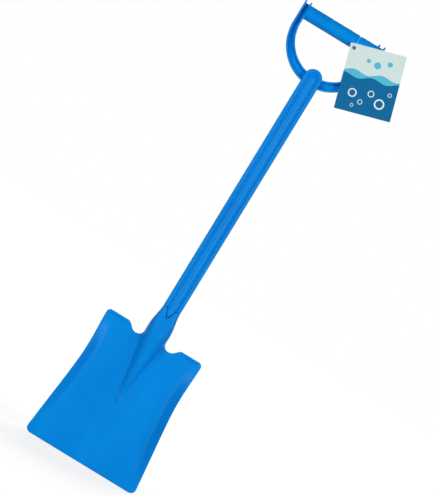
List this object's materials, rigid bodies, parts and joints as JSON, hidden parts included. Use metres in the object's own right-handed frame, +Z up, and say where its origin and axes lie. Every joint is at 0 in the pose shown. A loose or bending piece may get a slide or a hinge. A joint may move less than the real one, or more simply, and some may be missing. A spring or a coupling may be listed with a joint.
{
  "type": "long-handled sand shovel",
  "caption": "Child's long sand shovel: a dished plastic blade with foot treads and a neck socket, a ribbed shaft and a D handle, with a loose card tag on a loop.",
  "frame": {"origin": "middle of the grip, on its axis", "axes": "+Z up along the shaft from the cutting edge to the grip, -Y to the front that the blade's sides curl towards, +X to the right along the grip"},
  "size_m": [0.1888, 0.0254, 0.6432],
  "materials": {
    "blue_plastic": "semi-gloss moulded polypropylene",
    "clear_filament": "clear nylon filament",
    "printed_card": "coated printed paperboard"
  },
  "bodies": {
    "shovel": {"blade": "blue_plastic", "shaft": "blue_plastic", "d_handle": "blue_plastic"},
    "loop": {"tag_loop": "clear_filament"},
    "tag": {"tag_card": "printed_card"}
  },
  "joints": [
    {"name": "loop_swing", "type": "hinge", "parent": "shovel", "child": "loop", "pos_m": [0.024, 0, 0], "axis": [1, 0, 0], "range_deg": [-12, 0]},
    {"name": "tag_pivot", "type": "hinge", "parent": "loop", "child": "tag", "pos_m": [0.024, -0.01025, -0.0086], "axis": [0, 1, 0], "range_deg": [-10, 75]}
  ]
}
